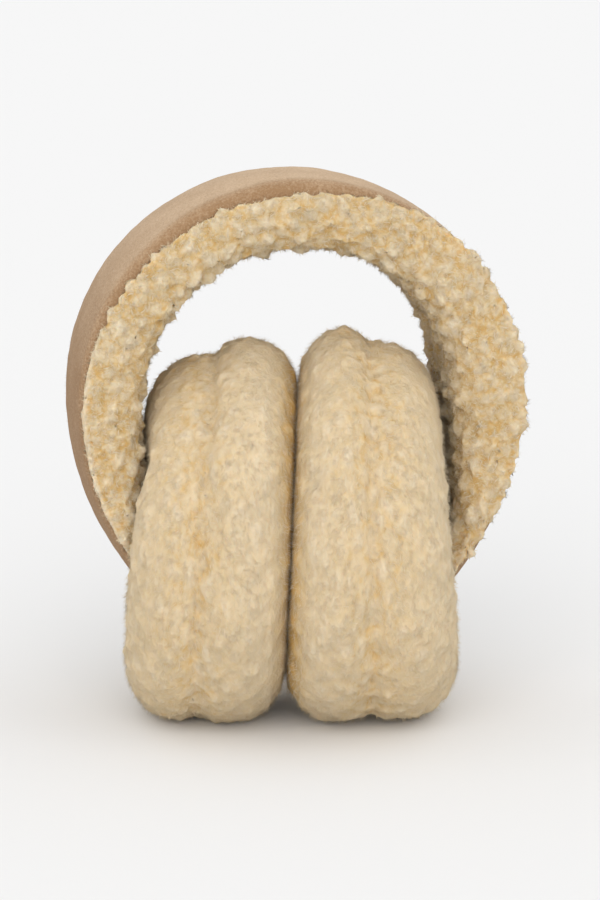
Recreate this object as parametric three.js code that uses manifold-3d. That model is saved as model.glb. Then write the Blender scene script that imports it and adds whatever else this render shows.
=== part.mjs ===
// Sheepskin earmuffs at rest: the band springs shut, so the two pads press together and stand on the surface.
// The headband is a strip of suede, rolled over along both edges and lined with the wool of the same skin.
// Each ear pad is two round pieces of sheepskin sewn rim to rim with the wool outward, one towards the ear
// and one outward, and each end of the headband is sewn into a pocket in the outer piece.
// Millimetres, +Z up, front towards -Y, origin on the surface in the middle of the whole.
import * as THREE from 'three';
import { mergeVertices } from 'three/addons/utils/BufferGeometryUtils.js';
import Module from 'manifold-3d';

const wasm = await Module();
wasm.setup();

// Headband
const BAND_WIDTH = 50;
const BAND_RADIUS = 70.2; // outer face of the suede over the top half
const BAND_RISE = 44.1; // the band's widest point above the pads' centres
const BAND_SWEEP = 50; // degrees that each side runs on below the widest point
const BAND_SEAT = 11; // depth of the band's end inside the outer face of a pad
const BAND_YAW = 9; // degrees that the band is turned on the pads
const BAND_CROWN = 1.2; // the suede stands this much prouder along its middle
const SUEDE_WALL = 1.8;
const EDGE_ROLL = 5; // radius of the rolled edges
const EDGE_LIP = 1.5; // straight lip past the roll

// Wool
const LINING_PILE = 19.7; // depth of the wool under the band
const LINING_BULGE = 4.5; // the lining stands this far out past the suede's edges
const LINING_TURN = 8; // depth over which the lining's locks turn from sideways to straight in
const LOCK_HEIGHT = 3; // from the foot of a lock to its tip
const LOCK_SPACING = 6.5;
const PATTERN_STEP = 100; // more rows than any piece has, so that no two patterns share a row
const LOCK_SMALLEST = 0.25; // height of the lowest lock as a share of the highest
const BAND_LOCK_STRETCH = 1.35; // length of a lock along the band as a share of the spacing
const FACE_LOCK_STRETCH = 1.2; // the same on the outer face of a pad, towards its middle

// Ear pads
const PAD_RADIUS = 62.6;
const PAD_THICKNESS = 49.5;
const PAD_FLATTENED = 2.5; // wool pressed flat under the pads
const PAD_GAP = 0.6; // between the two pads, where they press together
const RIM_ROUND_EAR = 16.5; // rounding of the rim beside the other pad
const RIM_ROUND_OUTER = 19; // rounding of the rim on the outer side
const RIM_ROUND_STEP = 7; // rounding of the larger piece down to the sewn seam
const RIM_ROUND_SEAM = 2.5; // rounding of the smaller piece at the sewn seam
const FACE_CALM = 20; // the locks of the outer face grow to full height over this radius
const PAD_WEDGE = 0.08; // each pad is thicker at the foot: its outer face leans by this slope
const PAD_LEAN = 0.045; // the face between the pads leans by this slope

const CLEARANCE = 0.35; // between pieces that press on each other
const POCKET_START = 75; // degrees from the top where the room for the band begins, above the pads
const POCKET_SHOULDER = 1.25; // below the outer face, where that room takes its full width

const SUEDE = { color: 0xa88763, roughness: 0.95, metalness: 0 };
const LINING_WOOL = { color: 0xdcc193, roughness: 1, metalness: 0 };
const PAD_WOOL = { color: 0xe3c99c, roughness: 1, metalness: 0 };

// The lining along the band, by degrees from the top: negative angles run down the left side. Pile is a
// share of LINING_PILE, and flare, a share of the suede's edge, is how far the wool fluffs out over it.
const LINING = [
  { angle: -140, pile: 0.22, flare: 0.6 },
  { angle: -122, pile: 0.4, flare: 0.8 },
  { angle: -108, pile: 0.8, flare: 0.95 },
  { angle: -90, pile: 1.0, flare: 1.0 },
  { angle: -45, pile: 1.0, flare: 0.6 },
  { angle: 0, pile: 1.06, flare: 0.5 },
  { angle: 35, pile: 1.0, flare: 1.2 },
  { angle: 90, pile: 1.04, flare: 1.25 },
  { angle: 108, pile: 0.82, flare: 1.0 },
  { angle: 122, pile: 0.42, flare: 0.8 },
  { angle: 140, pile: 0.22, flare: 0.6 },
];

// One side of the lining's section, from the suede's edge to the middle of the band. Across is a share of
// the lining's half width, and depth a share of the way from the suede's edge to the wool's inner face.
const LINING_SECTION = [
  { across: 0.94, depth: 0.03 },
  { across: 1.0, depth: 0.25 },
  { across: 1.0, depth: 0.5 },
  { across: 0.95, depth: 0.75 },
  { across: 0.82, depth: 0.93 },
  { across: 0.6, depth: 1.0 },
  { across: 0.36, depth: 1.0 },
  { across: 0.12, depth: 1.0 },
];

// The two pads: reach is a share of PAD_RADIUS, seam a share of PAD_THICKNESS from the other pad, and
// pattern a number that gives each pad locks of its own.
const PADS = [
  { name: 'left', side: -1, reach: 0.99, seam: 0.55, pattern: 1 },
  { name: 'right', side: 1, reach: 1.02, seam: 0.5, pattern: 7 },
];

// The two pieces of a pad: the rounding of the rim near to and far from the other pad, reach and drop as
// shares of the pad's radius, and whether the far face is open and so bears locks.
const PIECES = [
  { name: 'ear_fleece', near: RIM_ROUND_EAR, far: RIM_ROUND_STEP, reach: 1, drop: 0, openFace: false },
  { name: 'outer_fleece', near: RIM_ROUND_SEAM, far: RIM_ROUND_OUTER, reach: 0.955, drop: 0.03,
    openFace: true },
];

const edge = EDGE_ROLL + EDGE_LIP;
const padCentre = PAD_RADIUS - PAD_FLATTENED;
const bandCentre = padCentre + BAND_RISE;
const bandEnd = 90 + BAND_SWEEP;
const endReach = PAD_THICKNESS - BAND_SEAT;
// Radius of the sides, so that the suede's ends come down on endReach.
const sideRadius = (BAND_RADIUS - endReach) / (1 - Math.sin(THREE.MathUtils.degToRad(bandEnd)));

// A fixed number from 0 to 1 for a lock's place, in place of a random one.
function scatter(row, step) {
  const wave = Math.sin(row * 127.1 + step * 311.7) * 43758.5453;
  return wave - Math.floor(wave);
}

const isTip = (row, step) => (row + step) % 2 === 0;

// How far a point of the fleece stands out: tips of locks and the feet between them take turns.
function lockRelief(row, step, pattern = 0) {
  const size = THREE.MathUtils.lerp(LOCK_SMALLEST, 1, scatter(row + pattern * PATTERN_STEP, step));
  return (isTip(row, step) ? size : -size) * LOCK_HEIGHT / 2;
}

function signedVolume(points, faces) {
  const normal = new THREE.Vector3();
  const sixfold = ([a, b, c]) => points[a].dot(normal.crossVectors(points[b], points[c]));
  return faces.reduce((sum, face) => sum + sixfold(face), 0) / 6;
}

// A closed surface through rings of points. Each quad is split between the feet of its locks, so every tip
// stands as a four-sided lock fused to the backing. The caps are faces over the first and the last ring.
function skin(rings, capFaces) {
  const around = rings[0].length;
  const points = rings.flat();
  const faces = [];
  const last = (rings.length - 1) * around;
  for (let row = 0; row + 1 < rings.length; row += 1) {
    for (let step = 0; step < around; step += 1) {
      const next = (step + 1) % around;
      const [a, b] = [row * around + step, row * around + next];
      const [c, d] = [b + around, a + around];
      faces.push(...(isTip(row, step) ? [[a, b, d], [b, c, d]] : [[a, b, c], [a, c, d]]));
    }
  }
  capFaces.forEach(([a, b, c]) => faces.push([a, c, b], [last + a, last + b, last + c]));
  if (signedVolume(points, faces) < 0) faces.forEach((face) => face.reverse());
  const geometry = new THREE.BufferGeometry().setFromPoints(points);
  geometry.setIndex(faces.flat());
  return geometry;
}

function toSolid(geometry) {
  const bare = new THREE.BufferGeometry();
  bare.setAttribute('position', geometry.getAttribute('position'));
  bare.setIndex(geometry.index);
  const merged = mergeVertices(bare);
  return new wasm.Manifold(new wasm.Mesh({
    numProp: 3,
    vertProperties: merged.getAttribute('position').array,
    triVerts: new Uint32Array(merged.index.array),
  }));
}

function toGeometry(solid) {
  const mesh = solid.getMesh();
  const geometry = new THREE.BufferGeometry();
  geometry.setAttribute('position', new THREE.BufferAttribute(mesh.vertProperties, 3));
  geometry.setIndex(new THREE.BufferAttribute(mesh.triVerts, 1));
  return geometry;
}

function namedMesh(name, geometry, look) {
  const shown = geometry.toNonIndexed();
  shown.computeVertexNormals();
  const mesh = new THREE.Mesh(shown, new THREE.MeshStandardMaterial({ ...look, flatShading: true }));
  mesh.name = name;
  return mesh;
}

// Headband: a point across its width and outward from its outer face, at an angle in degrees from the top.
function bandPoint(angle, across, outward) {
  const turn = THREE.MathUtils.degToRad(Math.abs(angle));
  const radius = Math.abs(angle) <= 90 ? BAND_RADIUS : sideRadius;
  const reach = (radius + outward) * Math.sin(turn) - (radius - BAND_RADIUS);
  const height = bandCentre + (radius + outward) * Math.cos(turn);
  return new THREE.Vector3(Math.sign(angle) * reach, across, height);
}

// Angles of the sections from one to another, about one lock apart along the outer face.
function bandAngles(from, to) {
  const along = LOCK_SPACING * BAND_LOCK_STRETCH;
  const topSteps = Math.round(Math.PI * BAND_RADIUS / along / 2) * 2;
  const sideSteps = Math.round(THREE.MathUtils.degToRad(BAND_SWEEP) * sideRadius / along);
  const angles = [];
  for (let k = 0; k < sideSteps; k += 1) angles.push(-bandEnd + BAND_SWEEP * k / sideSteps);
  for (let k = 0; k <= topSteps; k += 1) angles.push(-90 + 180 * k / topSteps);
  for (let k = 1; k <= sideSteps; k += 1) angles.push(90 + BAND_SWEEP * k / sideSteps);
  return angles.filter((angle) => angle >= from && angle <= to);
}

function sweepBand(angles, sectionAt) {
  const ringAt = (angle) => sectionAt(angle).map(([across, outward]) => bandPoint(angle, across, outward));
  const rings = angles.map(ringAt);
  const outline = sectionAt(angles[0]).map(([across, outward]) => new THREE.Vector2(across, outward));
  const capFaces = THREE.ShapeUtils.triangulateShape(outline, []);
  // The caps' faces run the same way round as the rings.
  if (THREE.ShapeUtils.isClockWise(outline)) capFaces.forEach((face) => face.reverse());
  return skin(rings, capFaces);
}

// The suede's section at a depth inside its outer face: lip, rolled edge, crowned middle, rolled edge, lip.
function suedeContour(inset) {
  const half = BAND_WIDTH / 2;
  const round = EDGE_ROLL - inset;
  const corner = [180, 135, 90].map((degrees) => {
    const turn = THREE.MathUtils.degToRad(degrees);
    return [-(half - EDGE_ROLL) + round * Math.cos(turn), -EDGE_ROLL + round * Math.sin(turn)];
  });
  const left = [[-(half - inset), -edge], ...corner];
  const right = left.map(([across, outward]) => [-across, outward]).reverse();
  return [...left, [0, BAND_CROWN - inset], ...right];
}

function suedeSection() {
  return [...suedeContour(0), ...suedeContour(SUEDE_WALL).reverse()];
}

// Pile and flare of the lining at an angle, read between the rows of its table.
function liningAt(angle) {
  const [first, last] = [LINING[0].angle, LINING[LINING.length - 1].angle];
  const place = THREE.MathUtils.clamp(angle * last / bandEnd, first, last);
  const row = Math.max(1, LINING.findIndex((entry) => entry.angle >= place));
  const [low, high] = [LINING[row - 1], LINING[row]];
  const share = (place - low.angle) / (high.angle - low.angle);
  return {
    floor: -(SUEDE_WALL + LINING_PILE * THREE.MathUtils.lerp(low.pile, high.pile, share)),
    brim: -edge + edge * THREE.MathUtils.lerp(low.flare, high.flare, share),
  };
}

// The lining fills the channel of the suede, passes under its lips and swells out past them.
function liningSection(angle, row) {
  const { floor, brim } = liningAt(angle);
  const depthTo = Math.min(floor, -edge - LOCK_HEIGHT);
  const half = BAND_WIDTH / 2 + LINING_BULGE;
  const channel = suedeContour(SUEDE_WALL + CLEARANCE);
  const underLip = [
    [BAND_WIDTH / 2 - SUEDE_WALL - CLEARANCE, -edge - CLEARANCE],
    [BAND_WIDTH / 2 + CLEARANCE, -edge - CLEARANCE],
    [BAND_WIDTH / 2 + CLEARANCE, brim - CLEARANCE],
  ];
  const pile = LINING_SECTION.map(({ across, depth }) => [
    half * across,
    THREE.MathUtils.lerp(brim, depthTo, depth),
  ]);
  const side = [...underLip, ...pile];
  const loop = [
    ...channel,
    ...side,
    ...side.map(([across, outward]) => [-across, outward]).reverse(),
  ];
  const firstTuft = channel.length + underLip.length;
  const lastTuft = loop.length - underLip.length - 1;
  const middle = (brim + depthTo) / 2;
  return loop.map(([across, outward], step) => {
    if (step < firstTuft || step > lastTuft) return [across, outward];
    // A lock stands off the band's middle line, sideways on the edges and straight in under the band.
    const sideways = Math.abs(across) > BAND_WIDTH / 2 ? across / half : 0;
    const away = new THREE.Vector2(sideways, (outward - middle) / LINING_TURN).clampLength(0, 1);
    const relief = Math.abs(angle) < bandEnd ? lockRelief(row, step) : 0;
    const atLip = step === firstTuft || step === lastTuft;
    const clearOfLip = atLip ? Math.max(0, relief) : relief;
    return [across + away.x * clearOfLip, outward + away.y * clearOfLip * (atLip ? 0 : 1)];
  });
}

// What the band and its wool take up, with a clearance all round, as one plain section.
function envelopeSection(angle) {
  const { floor, brim } = liningAt(angle);
  const half = BAND_WIDTH / 2;
  const wide = half + LINING_BULGE + LOCK_HEIGHT / 2 + CLEARANCE;
  const top = brim + CLEARANCE;
  const bottom = Math.min(floor, -edge - LOCK_HEIGHT) - LOCK_HEIGHT / 2 - CLEARANCE;
  const right = [
    [half - EDGE_ROLL, 2 * CLEARANCE],
    [half + CLEARANCE, -POCKET_SHOULDER],
    [half + 2 * CLEARANCE, top],
    [wide, top],
    [wide, bottom],
  ];
  const left = right.map(([across, outward]) => [-across, outward]).reverse();
  return [[0, BAND_CROWN + CLEARANCE], ...right, ...left];
}

// One piece of a pad in its own profile: how far across the pad, radius, and the way its locks stand.
function fleeceProfile(from, to, radius, piece) {
  const rows = [];
  const arc = (centre, round, start, first) => {
    const steps = Math.max(1, Math.round(round * Math.PI / 2 / LOCK_SPACING));
    for (let k = first; k <= steps; k += 1) {
      const turn = start - (Math.PI / 2) * k / steps;
      const way = [Math.cos(turn), Math.sin(turn)];
      rows.push({ across: centre + round * way[0], radius: radius - round + round * way[1], way, tufted: 1 });
    }
  };
  arc(from + piece.near, piece.near, Math.PI, 0);
  rows[0].tufted = 0;
  const rim = to - piece.far - (from + piece.near);
  const rimSteps = Math.round(rim / LOCK_SPACING);
  for (let k = 1; k < rimSteps; k += 1) {
    rows.push({ across: from + piece.near + rim * k / rimSteps, radius, way: [0, 1], tufted: 1 });
  }
  // On a narrow rim the two arcs share a row.
  arc(to - piece.far, piece.far, Math.PI / 2, rimSteps > 0 ? 0 : 1);
  if (!piece.openFace) rows[rows.length - 1].tufted = 0;
  const face = radius - piece.far;
  const faceSteps = piece.openFace ? Math.round(face / (LOCK_SPACING * FACE_LOCK_STRETCH)) : 0;
  for (let k = 1; k < faceSteps; k += 1) {
    const at = face * (1 - k / faceSteps);
    rows.push({ across: to, radius: at, way: [1, 0], tufted: Math.min(1, at / FACE_CALM) });
  }
  return rows;
}

// A round piece of sheepskin about the pad's axis, leaning with the pad, cut flat where it stands.
function padFleece(pad, piece, pocket) {
  const radius = PAD_RADIUS * pad.reach * piece.reach;
  const height = PAD_RADIUS * pad.reach - PAD_FLATTENED - PAD_RADIUS * piece.drop;
  const seam = PAD_GAP / 2 + PAD_THICKNESS * pad.seam;
  const profile = piece.openFace
    ? fleeceProfile(seam + CLEARANCE, PAD_GAP / 2 + PAD_THICKNESS, radius, piece)
    : fleeceProfile(PAD_GAP / 2, seam, radius, piece);
  const around = Math.round(Math.PI * PAD_RADIUS / LOCK_SPACING) * 2;
  const place = (across, distance, turn) => {
    const z = height + distance * Math.cos(turn);
    const share = across / PAD_THICKNESS;
    const lean = (z - padCentre) * (PAD_LEAN * (1 - share) - pad.side * PAD_WEDGE * share);
    return new THREE.Vector3(pad.side * across + lean, distance * Math.sin(turn), z);
  };
  const rings = profile.map((row, index) => Array.from({ length: around }, (_, step) => {
    const relief = row.tufted * lockRelief(index, step, pad.pattern);
    const across = row.across + row.way[0] * relief;
    const distance = row.radius + row.way[1] * relief;
    return place(across, distance, 2 * Math.PI * step / around);
  }));
  // Flat discs close the two ends: a fan round each end ring.
  const fan = Array.from({ length: around - 2 }, (_, k) => [0, k + 1, k + 2]);
  const fleece = toSolid(skin(rings, fan));
  const below = toSolid(new THREE.BoxGeometry(8 * PAD_RADIUS, 8 * PAD_RADIUS, 2 * PAD_RADIUS)
    .translate(0, 0, -PAD_RADIUS));
  return toGeometry(fleece.subtract(below).subtract(pocket));
}

const angles = bandAngles(-bandEnd, bandEnd);
const rowOf = new Map(angles.map((angle, row) => [angle, row]));
const headbandSuede = namedMesh('headband_suede', sweepBand(angles, suedeSection), SUEDE);
const headbandLining = namedMesh(
  'headband_lining',
  sweepBand(angles, (angle) => liningSection(angle, rowOf.get(angle))),
  LINING_WOOL,
);

// The pockets in the pads follow the band, turned as it is and a little longer at its ends.
const pastEnd = THREE.MathUtils.radToDeg(2 * CLEARANCE / sideRadius);
const sideAngles = [...bandAngles(POCKET_START, bandEnd), bandEnd + pastEnd];
const pockets = [-1, 1].map((side) => {
  const sweep = sweepBand(sideAngles.map((angle) => side * angle), envelopeSection);
  return toSolid(sweep.rotateZ(THREE.MathUtils.degToRad(BAND_YAW)));
});

const headband = new THREE.Group();
headband.rotation.z = THREE.MathUtils.degToRad(BAND_YAW);
headband.add(headbandSuede, headbandLining);

const earmuffs = new THREE.Group();
earmuffs.add(headband);
PADS.forEach((pad) => {
  const pocket = pockets[pad.side < 0 ? 0 : 1];
  PIECES.forEach((piece) => {
    earmuffs.add(namedMesh(`${pad.name}_${piece.name}`, padFleece(pad, piece, pocket), PAD_WOOL));
  });
});

// The origin is in the middle of the whole, on the surface that it stands on.
earmuffs.updateMatrixWorld(true);
const bounds = new THREE.Box3().setFromObject(earmuffs, true);
const middle = bounds.getCenter(new THREE.Vector3());
earmuffs.position.set(-middle.x, -middle.y, -bounds.min.z);

export default earmuffs;
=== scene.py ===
import math

import bmesh
import bpy
import numpy as np
from mathutils import Matrix, Vector
from mathutils.kdtree import KDTree


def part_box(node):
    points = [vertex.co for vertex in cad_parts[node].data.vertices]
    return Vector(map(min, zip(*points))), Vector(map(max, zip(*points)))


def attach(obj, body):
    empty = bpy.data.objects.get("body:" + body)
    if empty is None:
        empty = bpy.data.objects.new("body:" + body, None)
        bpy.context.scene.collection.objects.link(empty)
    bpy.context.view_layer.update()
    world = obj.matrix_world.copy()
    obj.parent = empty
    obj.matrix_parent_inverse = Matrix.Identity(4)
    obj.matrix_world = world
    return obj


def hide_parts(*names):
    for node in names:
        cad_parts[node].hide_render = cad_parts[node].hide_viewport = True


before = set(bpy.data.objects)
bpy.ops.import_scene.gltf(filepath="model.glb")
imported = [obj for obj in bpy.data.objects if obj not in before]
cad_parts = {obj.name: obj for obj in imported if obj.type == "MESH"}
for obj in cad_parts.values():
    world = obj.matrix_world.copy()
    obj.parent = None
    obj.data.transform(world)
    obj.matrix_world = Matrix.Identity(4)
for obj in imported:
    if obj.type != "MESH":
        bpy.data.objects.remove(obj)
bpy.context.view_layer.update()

# Studio: a pale seamless floor under an even white sky. Wide soft lights shine from in front, one from
# above, one from low down and a weak one from high on the right. The camera looks a little down on the
# earmuffs, straight at the rims of the two pads, from far away.
VIEW_DROP = math.radians(10)
VIEW_DISTANCE = 1.1
VIEW_TARGET = Vector((0.0019, 0, 0.0857))
VIEW_LENS = 91.7
VIEW_REACH = 100
SENSOR_HEIGHT = 24
SKY_STRENGTH = 0.82
FLOOR_SIZE = 60
PAPER = (0.84, 0.84, 0.84, 1)


def aim(thing, target):
    thing.rotation_euler = (target - thing.location).to_track_quat("-Z", "Y").to_euler()


camera_data = bpy.data.cameras.new("camera")
camera_data.sensor_fit = "VERTICAL"
camera_data.sensor_height = SENSOR_HEIGHT
camera_data.lens = VIEW_LENS
camera_data.clip_end = VIEW_REACH
camera = bpy.data.objects.new("camera", camera_data)
towards_camera = Vector((0, -math.cos(VIEW_DROP), math.sin(VIEW_DROP)))
camera.location = VIEW_TARGET + VIEW_DISTANCE * towards_camera
aim(camera, VIEW_TARGET)
bpy.context.scene.collection.objects.link(camera)
bpy.context.scene.camera = camera


def soft_light(name, place, spread_angle, power):
    data = bpy.data.lights.new(name, "SUN")
    data.angle = math.radians(spread_angle)
    data.energy = power
    light = bpy.data.objects.new(name, data)
    light.location = place
    aim(light, Vector((0, 0, 0)))
    bpy.context.scene.collection.objects.link(light)


soft_light("key", place=Vector((-0.1, -1.1, 0.62)), spread_angle=50, power=1.2)
soft_light("fill", place=Vector((0.7, -0.9, 1.1)), spread_angle=60, power=0.3)
soft_light("front", place=Vector((-0.1, -1.3, 0.1)), spread_angle=60, power=0.65)

world = bpy.data.worlds.new("studio")
world.use_nodes = True
sky = world.node_tree.nodes["Background"]
sky.inputs["Color"].default_value = (1, 1, 1, 1)
sky.inputs["Strength"].default_value = SKY_STRENGTH
bpy.context.scene.world = world
bpy.context.scene.view_settings.view_transform = "Standard"

floor_mesh = bmesh.new()
bmesh.ops.create_grid(floor_mesh, x_segments=1, y_segments=1, size=FLOOR_SIZE / 2)
floor_data = bpy.data.meshes.new("floor")
floor_mesh.to_mesh(floor_data)
floor_mesh.free()
floor = bpy.data.objects.new("floor", floor_data)
bpy.context.scene.collection.objects.link(floor)
paper = bpy.data.materials.new("paper")
paper.use_nodes = True
matt = paper.node_tree.nodes["Principled BSDF"]
matt.inputs["Base Color"].default_value = PAPER
matt.inputs["Roughness"].default_value = 1
matt.inputs["Specular IOR Level"].default_value = 0
floor_data.materials.append(paper)


# Headband suede: a strip of sheepskin worn with its suede side out, rolled over along both long edges and
# bent into an arch of three round stretches. Its ends are sewn into the pads, and the whole arch is turned
# a little about the upright axis.
MM = 0.001
BAND_WIDTH = 50 * MM
BAND_RADIUS = 70.2 * MM
BAND_SIDE_RADIUS = 89.1 * MM
BAND_SWEEP = math.radians(50)
BAND_YAW = math.radians(9)
BAND_CROWN = 1.2 * MM
SUEDE_WALL = 1.8 * MM
EDGE_ROLL = 5 * MM
EDGE_LIP = 1.5 * MM
SUEDE_STEP = 1.0 * MM
# Painted shade on the rolled edges: lit this far each side of the middle, then shaded over this width.
LIT_FACE_HALF = 17 * MM
EDGE_SHADE_FADE = 7 * MM
# Painted shade down the sides: degrees from the top of the band, and how much darker the suede is there.
SIDE_SHADE_ANGLES = (0, 45, 85)
SIDE_SHADES = (0.15, 0.4, 1.0)
# The hide's slow swells and its small dents: height and size.
HIDE_SWELL = 0.12 * MM
HIDE_SWELL_SIZE = 30 * MM
HIDE_DENT = 0.06 * MM
HIDE_DENT_SIZE = 6 * MM
WAVES_ADDED = 7
WAVE_SIZES = (0.6, 1.5)
WAVES_HEIGHT = 3.2
# The suede's lit colour and its colour in painted shade; the mottle and nap also move it between the two.
SUEDE_LIGHT = (0.66, 0.49, 0.33, 1)
SUEDE_DARK = (0.31, 0.185, 0.095, 1)
# Patches, nap and pebbled grain of the suede: how many to a metre, and how much the first two shade it.
MOTTLE_SCALE = 90
MOTTLE_SHADE = 0.5
NAP_SCALE = 1400
NAP_SHADE = 1.7
GRAIN_SCALE = 1100
SUEDE_SHADES = (1.0, 2.2)
SUEDE_RELIEF = 0.4 * MM
BUMP_STRENGTH = 0.8


def suede_contour(inset, crown_steps, roll_steps):
    """The strip's section at a depth inside its outer face: lip, rolled edge, crown, rolled edge, lip."""
    half = BAND_WIDTH / 2
    flat = half - EDGE_ROLL
    radius = EDGE_ROLL - inset
    points = [(-(half - inset), -(EDGE_ROLL + EDGE_LIP))]
    for k in range(roll_steps + 1):
        turn = math.pi - (math.pi / 2) * k / roll_steps
        points.append((-flat + radius * math.cos(turn), -EDGE_ROLL + radius * math.sin(turn)))
    for k in range(1, crown_steps):
        across = -flat + 2 * flat * k / crown_steps
        points.append((across, BAND_CROWN * (1 - (across / flat) ** 2) - inset))
    for k in range(roll_steps + 1):
        turn = math.pi / 2 - (math.pi / 2) * k / roll_steps
        points.append((flat + radius * math.cos(turn), -EDGE_ROLL + radius * math.sin(turn)))
    return points + [(half - inset, -(EDGE_ROLL + EDGE_LIP))]


def build_suede():
    bm = bmesh.new()
    side_offset = BAND_SIDE_RADIUS - BAND_RADIUS
    outer = suede_contour(0, crown_steps=34, roll_steps=8)
    inner = suede_contour(SUEDE_WALL, crown_steps=8, roll_steps=3)
    outline = outer + inner[::-1]
    verts = [bm.verts.new((side_offset, across, BAND_SIDE_RADIUS + outward)) for across, outward in outline]
    edges = [bm.edges.new((verts[k - 1], verts[k])) for k in range(len(verts))]
    # The section starts at the foot of the left side and is spun along the arch, one stretch at a time.
    left_centre = Vector((side_offset, 0, 0))
    turn = Matrix.Rotation(-(math.pi / 2 + BAND_SWEEP), 3, "Y")
    bmesh.ops.rotate(bm, cent=left_centre, matrix=turn, verts=verts)
    bm.faces.new(verts)
    loop = verts + edges
    stretches = [(left_centre, BAND_SWEEP), (Vector(), math.pi), (-left_centre, BAND_SWEEP)]
    radii = [BAND_SIDE_RADIUS, BAND_RADIUS, BAND_SIDE_RADIUS]
    for (centre, angle), radius in zip(stretches, radii):
        spun = bmesh.ops.spin(bm, geom=loop, cent=centre, axis=(0, 1, 0), dvec=(0, 0, 0), angle=angle,
                              steps=round(angle * radius / SUEDE_STEP), use_merge=False)
        loop = spun["geom_last"]
    bmesh.ops.contextual_create(bm, geom=[part for part in loop if isinstance(part, bmesh.types.BMEdge)])
    bmesh.ops.recalc_face_normals(bm, faces=bm.faces)
    bmesh.ops.rotate(bm, cent=(0, 0, 0), matrix=Matrix.Rotation(BAND_YAW, 3, "Z"), verts=bm.verts)
    # The frame's own strip says where the whole arch stands.
    low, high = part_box("headband_suede")
    built_low = Vector([min(v.co[k] for v in bm.verts) for k in range(3)])
    built_high = Vector([max(v.co[k] for v in bm.verts) for k in range(3)])
    shift = ((low + high) - (built_low + built_high)) / 2
    bmesh.ops.translate(bm, vec=shift, verts=bm.verts)
    mesh = bpy.data.meshes.new("suede_band")
    bm.to_mesh(mesh)
    bm.free()
    mesh.shade_smooth()
    piece = bpy.data.objects.new("suede_band", mesh)
    bpy.context.scene.collection.objects.link(piece)
    return piece, shift


def vertex_array(mesh, what="co"):
    numbers = np.zeros(len(mesh.vertices) * 3, np.float32)
    if what == "co":
        mesh.vertices.foreach_get("co", numbers)
    else:
        mesh.vertex_normals.foreach_get("vector", numbers)
    return numbers.reshape(-1, 3).astype(float)


def band_place(points):
    """Where points are on the band.

    Gives the degrees from the top, how far across, how far out from the suede's face, and the way out.
    """
    local = points - np.array(band_shift)
    cosine, sine = math.cos(-BAND_YAW), math.sin(-BAND_YAW)
    x = local[:, 0] * cosine - local[:, 1] * sine
    across = local[:, 0] * sine + local[:, 1] * cosine
    z = local[:, 2]
    below = z < 0
    middle = np.where(below, -np.sign(x) * (BAND_SIDE_RADIUS - BAND_RADIUS), 0)
    radius = np.where(below, BAND_SIDE_RADIUS, BAND_RADIUS)
    reach = np.hypot(x - middle, z)
    angle = np.degrees(np.arctan2(x - middle, z))
    outward = np.stack([(x - middle) / reach, np.zeros_like(reach), z / reach], 1)
    cosine, sine = math.cos(BAND_YAW), math.sin(BAND_YAW)
    turned = np.stack([outward[:, 0] * cosine, outward[:, 0] * sine, outward[:, 2]], 1)
    return angle, across, reach - radius, turned


def set_values(mesh, name, values):
    layer = mesh.attributes.new(name, "FLOAT", "POINT")
    layer.data.foreach_set("value", np.asarray(values, np.float32))


def waves(points, size, seed):
    """A smooth random value from about -1 to 1 at each point, with bumps of this size."""
    rng = np.random.default_rng(seed)
    total = np.zeros(len(points))
    for _ in range(WAVES_ADDED):
        way = rng.normal(size=3)
        way *= rng.uniform(*WAVE_SIZES) * 2 * math.pi / (size * np.linalg.norm(way))
        total += np.sin(points @ way + rng.uniform(0, 2 * math.pi))
    return total / WAVES_HEIGHT


def node_maker(material):
    """Short ways to add a node and to link sockets in a material."""
    tree = material.node_tree

    def add(kind, **settings):
        made = tree.nodes.new(kind)
        for name, value in settings.items():
            setattr(made, name, value)
        return made

    return add, tree.links.new, tree.nodes["Principled BSDF"]


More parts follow.
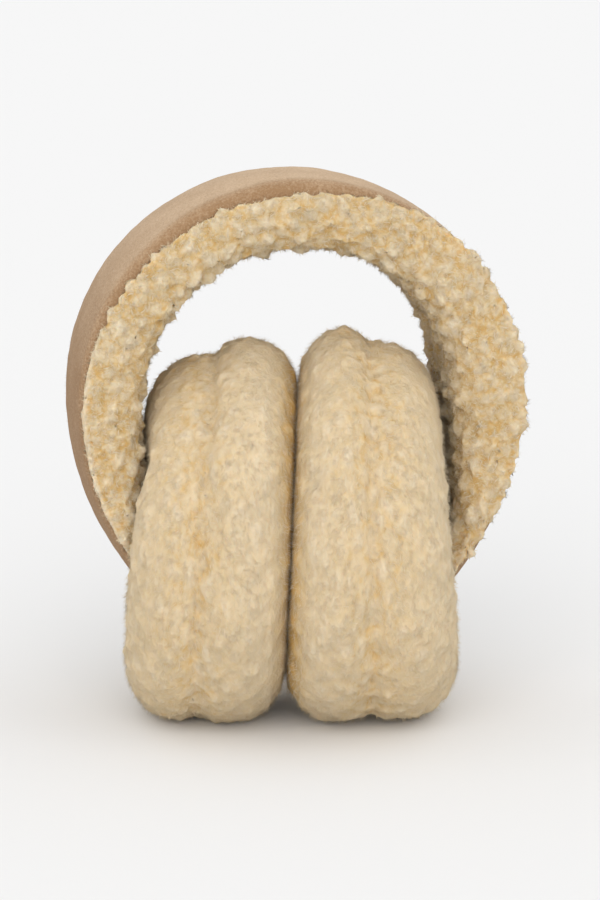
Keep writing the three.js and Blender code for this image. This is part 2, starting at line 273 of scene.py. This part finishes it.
def suede_material():
    material = bpy.data.materials.new("suede")
    material.use_nodes = True
    add, link, shader = node_maker(material)
    place = add("ShaderNodeTexCoord")
    # The painted shade on the rolled edges and down the sides.
    painted_shade = add("ShaderNodeAttribute", attribute_name="painted_shade")
    mottle = add("ShaderNodeTexNoise")
    mottle.inputs["Scale"].default_value = MOTTLE_SCALE
    mottle.inputs["Detail"].default_value = 5
    nap = add("ShaderNodeTexNoise")
    nap.inputs["Scale"].default_value = NAP_SCALE
    nap.inputs["Detail"].default_value = 4
    nap.inputs["Roughness"].default_value = 0.7
    grain = add("ShaderNodeTexVoronoi")
    grain.inputs["Scale"].default_value = GRAIN_SCALE
    for texture in (mottle, nap, grain):
        link(place.outputs["Object"], texture.inputs["Vector"])
    # The lit face is light, and painted shade darkens the rolled edge and the sides, which are pebbled.
    patches = add("ShaderNodeMath", operation="MULTIPLY_ADD")
    link(mottle.outputs["Fac"], patches.inputs[0])
    patches.inputs[1].default_value = MOTTLE_SHADE
    link(painted_shade.outputs["Fac"], patches.inputs[2])
    speckle = add("ShaderNodeMath", operation="MULTIPLY_ADD")
    link(nap.outputs["Fac"], speckle.inputs[0])
    speckle.inputs[1].default_value = NAP_SHADE
    link(patches.outputs["Value"], speckle.inputs[2])
    shade = add("ShaderNodeMapRange")
    shade.inputs["From Min"].default_value, shade.inputs["From Max"].default_value = SUEDE_SHADES
    link(speckle.outputs["Value"], shade.inputs["Value"])
    colour = add("ShaderNodeMix", data_type="RGBA")
    colour.inputs["A"].default_value = SUEDE_LIGHT
    colour.inputs["B"].default_value = SUEDE_DARK
    link(shade.outputs["Result"], colour.inputs["Factor"])
    link(colour.outputs["Result"], shader.inputs["Base Color"])
    height = add("ShaderNodeMath", operation="ADD")
    link(nap.outputs["Fac"], height.inputs[0])
    link(grain.outputs["Distance"], height.inputs[1])
    bump = add("ShaderNodeBump")
    bump.inputs["Strength"].default_value = BUMP_STRENGTH
    bump.inputs["Distance"].default_value = SUEDE_RELIEF
    link(height.outputs["Value"], bump.inputs["Height"])
    link(bump.outputs["Normal"], shader.inputs["Normal"])
    shader.inputs["Roughness"].default_value = 0.95
    shader.inputs["Specular IOR Level"].default_value = 0.15
    shader.inputs["Sheen Weight"].default_value = 0.03
    shader.inputs["Sheen Roughness"].default_value = 0.5
    return material


suede, band_shift = build_suede()
suede_points = vertex_array(suede.data)
suede_normals = vertex_array(suede.data, "normal")
suede_angle, suede_across, _, _ = band_place(suede_points)
# Painted shade on the rolled edges.
painted_shade = np.clip((np.abs(suede_across) - LIT_FACE_HALF) / EDGE_SHADE_FADE, 0, 1)
# Painted shade darkens the face down the sides too, more the further they are from the top.
side_shade = np.interp(np.abs(suede_angle), SIDE_SHADE_ANGLES, SIDE_SHADES)
set_values(suede.data, "painted_shade", np.maximum(painted_shade, side_shade))
# The hide is not quite even.
swells = HIDE_SWELL * waves(suede_points, HIDE_SWELL_SIZE, seed=11)
dents = HIDE_DENT * waves(suede_points, HIDE_DENT_SIZE, seed=12)
suede_points += suede_normals * (swells + dents)[:, None]
suede.data.vertices.foreach_set("co", suede_points.astype(np.float32).ravel())
suede.data.materials.append(suede_material())
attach(suede, "root")
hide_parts("headband_suede")


# Headband lining: the wool on the inner side of the same skin, cropped short, which fills the rolled strip
# and swells out past its edges. It grows in small tight curls that bunch together like popcorn, with deep
# gaps between them.

# Tufts: how far apart, how drawn out upwards, how high, how far the skin sinks in all, how often smoothed.
BAND_TUFTS = {"spacing": 4.4 * MM, "stretch": 1.0, "height": 2.4 * MM, "sink": 0, "blur": 1}
# Locks: how many, where they bend as shares of their length, how long and wide, how low and high their tips
# stand over the skin, how much they hook and gather to the middle of their tuft, and how many radians they
# turn from one tuft to the next ("wander") and from their neighbours ("stray").
BAND_LOCKS = {
    "count": 5500, "steps": (0, 0.6, 1), "length": 2.2 * MM, "width": 0.34 * MM,
    "low": 0, "high": 0.8 * MM, "curl": 0.6, "gather": 0.2, "wander": 3.0, "stray": 0.8,
}
BAND_FUZZ = {
    "count": 33000, "steps": (0, 1), "length": 1.8 * MM, "width": 0.2 * MM,
    "low": 0.2 * MM, "high": 1.6 * MM, "curl": 0, "gather": 0.1, "wander": 3.0, "stray": 1.2,
}
# The finest curls, which the material draws: how many to a metre each way, how deep, and how dark the
# painted shade between them.
BAND_CURLS = {"scale": (700, 700, 700), "depth": 0.5 * MM, "shade": 0.45}
# The deep root colour also serves as painted shade in the creases.
BAND_WOOL_COLOURS = ((0.53, 0.345, 0.135, 1), (0.61, 0.48, 0.295, 1), (0.67, 0.575, 0.425, 1))
BAND_RELAX = 6
BAND_KEPT = 0.62
# On the left, up to this many degrees past the top, the wool is tucked under the suede's edge.
TUCKED_TO = 10
TUCKED_DEPTH = 2 * MM
TUCKED_SHARE = 0.3
# The band's wool leans to its near edge, fully at this distance from the middle, and away from the suede.
COMB_HALF_WIDTH = 25 * MM
COMB_SIDEWAYS = 0.25
COMB_INWARD = 0.1
# The suede covers the wool that faces it at least this squarely, up to this far past its edge.
FACING_SUEDE = 0.3
SUEDE_MARGIN = 0.4 * MM
# Where the surface of the solid lies in the height of a tuft.
SKIN_LEVEL = 0.7
# How far tufts stray, and over what distance that changes, as shares of their spacing.
TUFT_STRAY = 0.3
TUFT_STRAY_SIZE = 2.5
# Round blobs: their heights, how full they are and how pointed.
DOME_SIZES = (0.35, 1.0)
DOME_FULLNESS = 1.1
DOME_POINT = 0.75
# The curls on the tufts, as shares of the tufts' size and spacing.
CURL_SHARE = 0.4
CURL_SHIFT = 0.2
# How pale the wool is in its depths (root colour and painted shade), and what its tufts and its curls add to
# that.
DEPTHS_TIP = 0.1
TUFT_TIP = 0.7
CURL_TIP = 0.45
# How much of their own shading tufts and locks give up for that of the skin under them.
TUFT_SOFTNESS = 0.5
LOCK_SOFTNESS = 0.85
# Locks start this deep in the skin and this pale. Their lengths and widths vary within the next ranges.
LOCK_ROOT = 0.1 * MM
LOCK_ROOT_TIP = 0.6
LOCK_LENGTHS = (0.5, 1.2)
LOCK_WIDTHS = (0.7, 1.3)
# Length of the locks on a tuft of no size, and what a full tuft adds to it.
BARE_TUFT_LENGTH = 0.7
FULL_TUFT_LENGTH = 0.4
RIDGE_HEIGHT = 0.3
LEAST_GROWTH = 0.1
MIDDLE_TONE = 0.5
TONE_SPREAD = 0.25
FLOOR_CLEARANCE = 0.25 * MM
WOOL_VOXEL = 0.9 * MM
WOOL_GLOW = 0.7
WOOL_GLOW_REACH = (2.2 * MM, 1.3 * MM, 0.6 * MM)
# The wool's own drawing: how the curls stray, how soft they are, the fibres in them and the slow patches.
STRAY_SCALE = 350
STRAY_REACH = 3 * MM
CURL_BLEND = 0.4
FIBRE_SCALE = 2.2
FIBRE_HEIGHT = 0.5
PATCH_SCALE = 70
MIDDLE_COLOUR_AT = 0.3
TIP_COLOUR_AT = 0.8
TONES = (0.4, 1.6)
TONE_VALUES = (0.93, 1.06)


def shaped_mesh(piece):
    """A copy of a piece's mesh with its modifiers applied."""
    return bpy.data.meshes.new_from_object(piece.evaluated_get(bpy.context.evaluated_depsgraph_get()))


def backing(nodes, name, relax, fill_gap, hidden, kept):
    """One smooth fine mesh over copies of solids of the frame, swollen until the gap between them is filled.

    Its faces are thinned to the kept share, first of all where it is hidden.
    """
    bm = bmesh.new()
    for node in nodes:
        bm.from_mesh(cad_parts[node].data)
    bmesh.ops.remove_doubles(bm, verts=bm.verts, dist=1e-6)
    mesh = bpy.data.meshes.new(name)
    bm.to_mesh(mesh)
    bm.free()
    piece = bpy.data.objects.new(name, mesh)
    bpy.context.scene.collection.objects.link(piece)
    swell = piece.modifiers.new("swell", "DISPLACE")
    swell.strength = fill_gap
    swell.mid_level = 0
    remesh = piece.modifiers.new("remesh", "REMESH")
    remesh.mode = "VOXEL"
    remesh.voxel_size = WOOL_VOXEL
    soften = piece.modifiers.new("soften", "SMOOTH")
    soften.factor = 0.5
    soften.iterations = relax
    piece.data = shaped_mesh(piece)
    piece.modifiers.clear()
    unseen = piece.vertex_groups.new(name="unseen")
    out_of_sight = hidden(vertex_array(piece.data), vertex_array(piece.data, "normal"))
    unseen.add(np.flatnonzero(out_of_sight).tolist(), 1.0, "REPLACE")
    thin = piece.modifiers.new("thin", "DECIMATE")
    thin.ratio = kept
    thin.vertex_group = "unseen"
    thin.vertex_group_factor = 1000
    thinned = shaped_mesh(piece)
    bpy.data.objects.remove(piece)
    return thinned


def spread(points, spacing, rng):
    """Indices of points picked at random, none nearer to another than the spacing."""
    cells = {}
    picked = []
    keys = np.floor(points / spacing).astype(int)
    steps = [(i, j, k) for i in (-1, 0, 1) for j in (-1, 0, 1) for k in (-1, 0, 1)]
    for index in rng.permutation(len(points)):
        x, y, z = keys[index]
        near = [cells.get((x + i, y + j, z + k)) for i, j, k in steps]
        if any(n is not None and np.sum((points[n] - points[index]) ** 2) < spacing ** 2 for n in near):
            continue
        cells[(x, y, z)] = index
        picked.append(index)
    return np.array(picked)


def tree_of(points):
    tree = KDTree(len(points))
    for index, point in enumerate(points):
        tree.insert(point, index)
    tree.balance()
    return tree


def nearest(tree, points):
    """Indices of the tree's points nearest to these ones, and the distances."""
    found = [tree.find(point) for point in points]
    return np.array([index for _, index, _ in found]), np.array([distance for _, _, distance in found])


def domes(points, spacing, rng):
    """Round blobs crowded against each other, up to 1 on top and 0 in the creases between them."""
    picked = spread(points, spacing, rng)
    tree = tree_of(points[picked])
    pairs = [tree.find_n(point, 2) for point in points]
    blob_of = np.array([pair[0][1] for pair in pairs])
    margin = np.array([pair[1][2] - pair[0][2] for pair in pairs])
    size = rng.uniform(*DOME_SIZES, len(picked))
    height = np.clip(DOME_FULLNESS * margin / spacing, 0, 1) ** DOME_POINT * size[blob_of]
    return height, picked, tree, size


def blurred(mesh, values, rounds):
    """Values at the vertices of a mesh, averaged with their neighbours' this many times."""
    ends = np.zeros(len(mesh.edges) * 2, np.int32)
    mesh.edges.foreach_get("vertices", ends)
    a, b = ends.reshape(-1, 2).T
    count = len(values)
    share = 1 + np.bincount(a, minlength=count) + np.bincount(b, minlength=count)
    for _ in range(rounds):
        values = (values + np.bincount(a, values[b], count) + np.bincount(b, values[a], count)) / share
    return values


def unit(vectors):
    return vectors / np.maximum(np.linalg.norm(vectors, axis=1, keepdims=True), 1e-12)


def scatter_on(mesh, allowed, count, rng):
    """Random points with their normals on the triangles of a mesh whose corners are all allowed."""
    mesh.calc_loop_triangles()
    corners = np.zeros(len(mesh.loop_triangles) * 3, np.int32)
    mesh.loop_triangles.foreach_get("vertices", corners)
    corners = corners.reshape(-1, 3)
    corners = corners[allowed[corners].all(1)]
    points, normals = vertex_array(mesh), vertex_array(mesh, "normal")
    a, b, c = (points[corners[:, k]] for k in range(3))
    area = np.linalg.norm(np.cross(b - a, c - a), axis=1)
    chosen = rng.choice(len(corners), count, p=area / area.sum())
    u, v = rng.random(count), rng.random(count)
    over = u + v > 1
    u[over], v[over] = 1 - u[over], 1 - v[over]
    share = np.stack([1 - u - v, u, v], 1)
    place = np.einsum("ik,ikj->ij", share, points[corners[chosen]])
    normal = unit(np.einsum("ik,ikj->ij", share, normals[corners[chosen]]))
    return place, normal


def lock_mesh(paths, ups, thick, tips, tones):
    """Thin low-ridged locks along paths of points, flat below, closed at the root and pointed at the tip.

    ups are the skin's normals under the points.
    """
    count, knots, _ = paths.shape
    along = unit((paths[:, 1:] - paths[:, :-1]).reshape(-1, 3)).reshape(count, knots - 1, 3)
    rings = []
    for k in range(knots - 1):
        way = along[:, max(k - 1, 0)] + along[:, k]
        side = unit(np.cross(way, ups[:, k]))
        top = unit(np.cross(side, way))
        for offset in (side, -side, RIDGE_HEIGHT * top):
            rings.append(paths[:, k] + offset * thick[:, None])
    rings.append(paths[:, -1])
    verts = np.stack(rings, 1)
    per_lock = verts.shape[1]
    pattern = [(0, 2, 1)]
    for k in range(knots - 2):
        for corner in range(3):
            a, b = 3 * k + corner, 3 * k + (corner + 1) % 3
            pattern += [(a, b, b + 3), (a, b + 3, a + 3)]
    last = 3 * (knots - 2)
    pattern += [(last + corner, last + (corner + 1) % 3, per_lock - 1) for corner in range(3)]
    faces = (np.array(pattern)[None] + (np.arange(count) * per_lock)[:, None, None]).reshape(-1, 3)
    tip = np.concatenate([np.repeat(tips[:, :-1], 3, axis=1), tips[:, -1:]], 1)
    tone = np.repeat(tones[:, None], per_lock, axis=1)
    skin_normals = np.concatenate([np.repeat(ups[:, :-1], 3, axis=1), ups[:, -1:]], 1).reshape(-1, 3)
    return verts.reshape(-1, 3), faces, tip.ravel(), tone.ravel(), skin_normals


def fleece(mesh, grows, look, seed):
    """Swells up the tufts of wool on a backing, where grows says how much each vertex bears, from 0 to 1.

    Returns a function that finds the tuft at a place, and the normals that the wool shades by.
    """
    rng = np.random.default_rng(seed)
    points, normals = vertex_array(mesh), vertex_array(mesh, "normal")
    squeeze = np.array([1, 1, 1 / look["stretch"]])

    def bend(places):
        """Places in a bent space. Tufts that are even there vary in size and lean about on the skin."""
        size = look["spacing"] * TUFT_STRAY_SIZE
        stray = np.stack([waves(places, size, seed + k) for k in (1, 2, 3)], 1)
        return places * squeeze + TUFT_STRAY * look["spacing"] * stray

    bent = bend(points)
    tuft, picked, tree, size = domes(bent, look["spacing"], rng)
    curl, _, _, _ = domes(bent + CURL_SHIFT * look["spacing"], look["spacing"] * CURL_SHARE, rng)
    tuft, curl = blurred(mesh, tuft, look["blur"]), blurred(mesh, curl, look["blur"])
    swell = look["height"] * (tuft + CURL_SHARE * curl - SKIN_LEVEL)
    points += normals * (swell * grows - look["sink"] * (grows > 0))[:, None]
    points[:, 2] = np.maximum(points[:, 2], FLOOR_CLEARANCE)
    mesh.vertices.foreach_set("co", points.astype(np.float32).ravel())
    mesh.update()
    # In the creases between tufts and curls the wool goes to its roots' colour, partly their own, partly
    # painted shade.
    pale = np.clip(DEPTHS_TIP + TUFT_TIP * tuft + CURL_TIP * curl, 0, 1)
    set_values(mesh, "tip", 1 - grows * (1 - pale))
    set_values(mesh, "tone", np.full(len(points), MIDDLE_TONE))
    centres = points[picked]

    def tuft_at(places):
        found, _ = nearest(tree, bend(places))
        return centres[found], size[found], found

    # Wool takes the light as one soft mass, so its tufts shade less than their shapes would.
    tufted = vertex_array(mesh, "normal")
    return tuft_at, unit(tufted * (1 - TUFT_SOFTNESS) + normals * TUFT_SOFTNESS)


def locks_on(mesh, normals, grows, tuft_at, look, comb, seed):
    """Locks of wool that lie or stand on the tufts of a backing, as arrays for wool_mesh."""
    rng = np.random.default_rng(seed)
    count = look["count"]
    place, normal = scatter_on(mesh, grows > LEAST_GROWTH, count, rng)
    centre, size, tuft_of = tuft_at(place)
    lean = comb(place)
    lean = unit(lean - normal * np.sum(lean * normal, 1, keepdims=True))
    side = np.cross(normal, lean)
    to_middle = centre - place
    to_middle -= normal * np.sum(to_middle * normal, 1, keepdims=True)
    tuft_values = rng.uniform(-1, 1, (tuft_of.max() + 1, 3))[tuft_of]
    full_length = look["length"] * rng.uniform(*LOCK_LENGTHS, count)
    reach = full_length * (BARE_TUFT_LENGTH + FULL_TUFT_LENGTH * size)
    twist = tuft_values[:, 0] * look["wander"] + rng.normal(0, look["stray"], count)
    way = lean * np.cos(twist)[:, None] + side * np.sin(twist)[:, None]
    hook = np.cross(normal, way) * (np.sign(tuft_values[:, 1]) * look["curl"] * reach)[:, None]
    height = rng.uniform(look["low"], look["high"], count)
    skin_points = vertex_array(mesh)
    skin_tree = tree_of(skin_points)
    paths, ups = [], []
    for s in look["steps"]:
        # Each point of a lock lies over the skin under it, higher towards the tip.
        free = place + way * (reach * s)[:, None] + hook * s * s + to_middle * look["gather"] * s
        under, _ = nearest(skin_tree, free)
        up = normals[under]
        above = np.sum((free - skin_points[under]) * up, 1)
        paths.append(free + up * (height * s - LOCK_ROOT * (1 - s) - above)[:, None])
        ups.append(up)
    paths, ups = np.stack(paths, 1), np.stack(ups, 1)
    paths[:, :, 2] = np.maximum(paths[:, :, 2], FLOOR_CLEARANCE)
    thick = look["width"] / 2 * rng.uniform(*LOCK_WIDTHS, count)
    tips = np.repeat(LOCK_ROOT_TIP + (1 - LOCK_ROOT_TIP) * np.array(look["steps"])[None], count, 0)
    tones = MIDDLE_TONE + TONE_SPREAD * (rng.uniform(-1, 1, count) + tuft_values[:, 2])
    return lock_mesh(paths, ups, thick, tips, tones)


def wool_mesh(name, parts):
    """One mesh from the arrays of several coats of locks, with the normals that they shade by."""
    verts, faces, tips, tones, soft = zip(*parts)
    starts = np.cumsum([0] + [len(part) for part in verts[:-1]])
    all_points = np.concatenate(verts)
    all_faces = np.concatenate([part + start for part, start in zip(faces, starts)])
    mesh = bpy.data.meshes.new(name)
    mesh.vertices.add(len(all_points))
    mesh.vertices.foreach_set("co", all_points.astype(np.float32).ravel())
    mesh.loops.add(len(all_faces) * 3)
    mesh.loops.foreach_set("vertex_index", all_faces.astype(np.int32).ravel())
    mesh.polygons.add(len(all_faces))
    mesh.polygons.foreach_set("loop_start", np.arange(0, len(all_faces) * 3, 3, dtype=np.int32))
    mesh.update(calc_edges=True)
    set_values(mesh, "tip", np.concatenate(tips))
    set_values(mesh, "tone", np.concatenate(tones))
    own = vertex_array(mesh, "normal")
    return mesh, unit(own * (1 - LOCK_SOFTNESS) + np.concatenate(soft) * LOCK_SOFTNESS)


def wool_piece(name, mesh, normals, material, slot):
    """A piece of the object from a mesh of wool, which shades by the given normals."""
    mesh.shade_smooth()
    mesh.normals_split_custom_set_from_vertices(normals.tolist())
    mesh.materials.append(material)
    piece = bpy.data.objects.new(name, mesh)
    bpy.context.scene.collection.objects.link(piece)
    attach(piece, "root")
    return piece


def wool_material(name, colours, curls, glow):
    """Colours are those of the roots, the middle and the tips of the wool.

    glow is the share of the light that wanders through the wool before it comes out again.
    """
    root, middle, tip = colours
    material = bpy.data.materials.new(name)
    material.use_nodes = True
    add, link, shader = node_maker(material)
    place = add("ShaderNodeTexCoord")
    depth = add("ShaderNodeAttribute", attribute_name="tip")
    tone = add("ShaderNodeAttribute", attribute_name="tone")
    # Small curls, drawn out the way the wool is combed, with painted shade in the creases between them.
    stray = add("ShaderNodeTexNoise")
    stray.inputs["Scale"].default_value = STRAY_SCALE
    stray.inputs["Detail"].default_value = 2
    link(place.outputs["Object"], stray.inputs["Vector"])
    bent = add("ShaderNodeVectorMath", operation="MULTIPLY_ADD")
    link(stray.outputs["Color"], bent.inputs[0])
    bent.inputs[1].default_value = (STRAY_REACH, STRAY_REACH, STRAY_REACH)
    link(place.outputs["Object"], bent.inputs[2])
    drawn = add("ShaderNodeMapping")
    drawn.inputs["Scale"].default_value = curls["scale"]
    link(bent.outputs["Vector"], drawn.inputs["Vector"])
    curl = add("ShaderNodeTexVoronoi", feature="SMOOTH_F1")
    curl.inputs["Scale"].default_value = 1
    curl.inputs["Smoothness"].default_value = CURL_BLEND
    link(drawn.outputs["Vector"], curl.inputs["Vector"])
    fibre = add("ShaderNodeTexNoise")
    fibre.inputs["Scale"].default_value = FIBRE_SCALE
    fibre.inputs["Detail"].default_value = 3
    link(drawn.outputs["Vector"], fibre.inputs["Vector"])
    deep = add("ShaderNodeMath", operation="MULTIPLY_ADD")
    link(curl.outputs["Distance"], deep.inputs[0])
    deep.inputs[1].default_value = -curls["shade"]
    link(depth.outputs["Fac"], deep.inputs[2])
    ramp = add("ShaderNodeValToRGB")
    ramp.color_ramp.elements[0].color = root
    ramp.color_ramp.elements[0].position = 0.0
    ramp.color_ramp.elements[1].color = tip
    ramp.color_ramp.elements[1].position = TIP_COLOUR_AT
    ramp.color_ramp.elements.new(MIDDLE_COLOUR_AT).color = middle
    link(deep.outputs["Value"], ramp.inputs["Fac"])
    patches = add("ShaderNodeTexNoise")
    patches.inputs["Scale"].default_value = PATCH_SCALE
    patches.inputs["Detail"].default_value = 3
    link(place.outputs["Object"], patches.inputs["Vector"])
    light = add("ShaderNodeMath", operation="ADD")
    link(patches.outputs["Fac"], light.inputs[0])
    link(tone.outputs["Fac"], light.inputs[1])
    value = add("ShaderNodeMapRange")
    value.inputs["From Min"].default_value, value.inputs["From Max"].default_value = TONES
    value.inputs["To Min"].default_value, value.inputs["To Max"].default_value = TONE_VALUES
    link(light.outputs["Value"], value.inputs["Value"])
    shaded = add("ShaderNodeHueSaturation")
    link(ramp.outputs["Color"], shaded.inputs["Color"])
    link(value.outputs["Result"], shaded.inputs["Value"])
    link(shaded.outputs["Color"], shader.inputs["Base Color"])
    height = add("ShaderNodeMath", operation="MULTIPLY_ADD")
    link(fibre.outputs["Fac"], height.inputs[0])
    height.inputs[1].default_value = FIBRE_HEIGHT
    upside = add("ShaderNodeMath", operation="MULTIPLY")
    upside.inputs[1].default_value = -1
    link(curl.outputs["Distance"], upside.inputs[0])
    link(upside.outputs["Value"], height.inputs[2])
    bump = add("ShaderNodeBump")
    bump.inputs["Strength"].default_value = BUMP_STRENGTH
    bump.inputs["Distance"].default_value = curls["depth"]
    link(height.outputs["Value"], bump.inputs["Height"])
    link(bump.outputs["Normal"], shader.inputs["Normal"])
    shader.inputs["Roughness"].default_value = 1.0
    shader.inputs["Diffuse Roughness"].default_value = 1.0
    shader.inputs["Specular IOR Level"].default_value = 0.0
    shader.subsurface_method = "BURLEY"
    shader.inputs["Subsurface Weight"].default_value = glow
    shader.inputs["Subsurface Radius"].default_value = WOOL_GLOW_REACH
    shader.inputs["Subsurface Scale"].default_value = 1.0
    return material


def under_suede(points, normals):
    """True where the lining is covered by the suede."""
    _, across, outward, out = band_place(points)
    off_middle = np.abs(across)
    faces_suede = (np.sum(normals * out, 1) > FACING_SUEDE) & (off_middle < BAND_WIDTH / 2 + SUEDE_MARGIN)
    in_channel = (outward > -(EDGE_ROLL + EDGE_LIP)) & (off_middle < BAND_WIDTH / 2)
    return faces_suede | in_channel


def band_comb(points):
    """The way that the band's wool is combed."""
    _, across, _, out = band_place(points)
    sideways = np.sign(across) * np.clip(np.abs(across) / COMB_HALF_WIDTH, 0, 1) ** 2
    yaw = np.array([-math.sin(BAND_YAW), math.cos(BAND_YAW), 0])
    return COMB_SIDEWAYS * sideways[:, None] * yaw - COMB_INWARD * out


lining_backing = backing(["headband_lining"], "lining_backing", relax=BAND_RELAX, fill_gap=0,
                         hidden=under_suede, kept=BAND_KEPT)
lining_angle, _, lining_outward, _ = band_place(vertex_array(lining_backing))
lining_grows = 1.0 - under_suede(vertex_array(lining_backing), vertex_array(lining_backing, "normal"))
# On the left the wool ends under the suede's edge, and on the right it stands over it.
lining_grows[(lining_angle < TUCKED_TO) & (lining_outward > -TUCKED_DEPTH)] *= TUCKED_SHARE
lining_tufts, lining_normals = fleece(lining_backing, lining_grows, BAND_TUFTS, seed=21)
band_coats = [
    locks_on(lining_backing, lining_normals, lining_grows, lining_tufts, look, band_comb, seed)
    for look, seed in ((BAND_LOCKS, 22), (BAND_FUZZ, 23))
]
band_depths = wool_material("band_wool_depths", BAND_WOOL_COLOURS, BAND_CURLS, WOOL_GLOW)
band_look = wool_material("band_wool", BAND_WOOL_COLOURS, BAND_CURLS, 0)
lining = wool_piece("band_fleece", lining_backing, lining_normals, band_depths, "band_wool")
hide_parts("headband_lining")
wool_piece("band_locks", *wool_mesh("band_locks", band_coats), band_look, "band_wool")


# Ear pads: each is two round sheepskins sewn rim to rim with the wool outward, and the outer one has a
# pocket with an end of the band sewn in. The wool is longer than the band's and combed out, so it parts
# along the seam and lies in soft tufts from there to both sides.
PAD_TUFTS = {"spacing": 3.8 * MM, "stretch": 2.4, "height": 1.0 * MM, "sink": 0.2 * MM, "blur": 1}
PAD_LOCKS = {
    "count": 6000, "steps": (0, 0.6, 1), "length": 3.2 * MM, "width": 0.3 * MM,
    "low": -0.2 * MM, "high": 0.3 * MM, "curl": 0.12, "gather": 0.15, "wander": 0.5, "stray": 0.3,
}
PAD_FUZZ = {
    "count": 31000, "steps": (0, 1), "length": 2.4 * MM, "width": 0.18 * MM,
    "low": 0.2 * MM, "high": 1.8 * MM, "curl": 0, "gather": 0.1, "wander": 0.6, "stray": 0.6,
}
# As on the band: painted shade between the finest curls, and a root colour that also serves as painted
# shade.
PAD_CURLS = {"scale": (700, 700, 280), "depth": 0.45 * MM, "shade": 0.25}
PAD_WOOL_COLOURS = ((0.56, 0.35, 0.12, 1), (0.62, 0.48, 0.29, 1), (0.655, 0.54, 0.375, 1))
SEAM_FILL = 0.45 * MM
PAD_RELAX = 45
PAD_KEPT = 0.8
# The faces between the pads are pressed flat, but for this much of their rims.
PRESSED_RIM = 21 * MM
PRESSED_FACING = 0.9
# No wool grows this near to the band.
BAND_BARE_RIM = 2.0 * MM
# The wool parts over this width at the seam, and is combed away from it less and less up to this reach.
PARTING = 3 * MM
COMBED_REACH = 20 * MM
COMBED_LEAST = 0.2
COMBED_AWAY = 0.6
COMBED_DOWN = 0.5
COMB_STRAY = 0.22
COMB_STRAY_SIZE = 22 * MM
COMB_STRAY_SEEDS = (31, 32, 33)
# The share of the tufts' height that is left towards the faces, and how far the ruffled wool reaches.
SMOOTH_SHARE = 0.4
RUFFLED_REACH = 16 * MM
# How deep in the crease between the pads the wool is painted in the colour of its roots, as painted shade.
CREASE_REACH = 9 * MM
pad_depths = wool_material("pad_wool_depths", PAD_WOOL_COLOURS, PAD_CURLS, WOOL_GLOW)
pad_look = wool_material("pad_wool", PAD_WOOL_COLOURS, PAD_CURLS, 0)
# Every fifth point of the suede is enough to tell where the band goes in.
band_tree = tree_of(suede_points[::5])


def ear_pad(name, side, seed):
    """One pad, on the left (side -1) or on the right (side 1)."""
    ear, outer = name + "_ear_fleece", name + "_outer_fleece"
    low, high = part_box(ear)
    seam, pressed_face = (high.x, low.x) if side > 0 else (low.x, high.x)
    middle = (low + high) / 2

    def covered(points, normals):
        """True where the pad is pressed on the other one, and where the band goes in."""
        distance = np.hypot(points[:, 1] - middle.y, points[:, 2] - middle.z)
        inside_rim = distance < (high.z - low.z) / 2 - PRESSED_RIM
        pressed = (normals[:, 0] * side < -PRESSED_FACING) & inside_rim
        _, near_band = nearest(band_tree, points)
        return pressed | (near_band < BAND_BARE_RIM)

    def comb(points):
        """The way that the wool is combed, down and away from the seam."""
        off = points[:, 0] - seam
        fading = np.clip(1 - np.abs(off) / COMBED_REACH, COMBED_LEAST, 1)
        away = COMBED_AWAY * (np.clip(off / PARTING, -1, 1) * fading)
        sweep = np.stack([away, np.zeros(len(points)), np.full(len(points), -COMBED_DOWN)], 1)
        stray = np.stack([waves(points, COMB_STRAY_SIZE, key) for key in COMB_STRAY_SEEDS], 1)
        return sweep + COMB_STRAY * stray

    pad = backing([ear, outer], name + "_backing", relax=PAD_RELAX, fill_gap=SEAM_FILL,
                  hidden=covered, kept=PAD_KEPT)
    points = vertex_array(pad)
    # The wool is ruffled about the parting and lies smooth towards the faces.
    ruffled = SMOOTH_SHARE + (1 - SMOOTH_SHARE) * np.exp(-((points[:, 0] - seam) / RUFFLED_REACH) ** 2)
    grows = np.where(covered(points, vertex_array(pad, "normal")), 0, ruffled)
    tufts, normals = fleece(pad, grows, PAD_TUFTS, seed)
    # Where the pads press together the wool is painted in the deep colour of its roots, as painted shade in
    # the crease.
    tip = np.zeros(len(points), np.float32)
    pad.attributes["tip"].data.foreach_get("value", tip)
    out_of_crease = np.clip((points[:, 0] - pressed_face) * side / CREASE_REACH, 0, 1)
    pad.attributes["tip"].data.foreach_set("value", tip * out_of_crease.astype(np.float32))
    coats = [locks_on(pad, normals, grows, tufts, look, comb, seed + key)
             for look, key in ((PAD_LOCKS, 10), (PAD_FUZZ, 20))]
    piece = wool_piece(name + "_pad", pad, normals, pad_depths, "pad_wool")
    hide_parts(ear, outer)
    wool_piece(name + "_pad_locks", *wool_mesh(name + "_pad_locks", coats), pad_look, "pad_wool")


ear_pad("left", side=-1, seed=41)
ear_pad("right", side=1, seed=71)
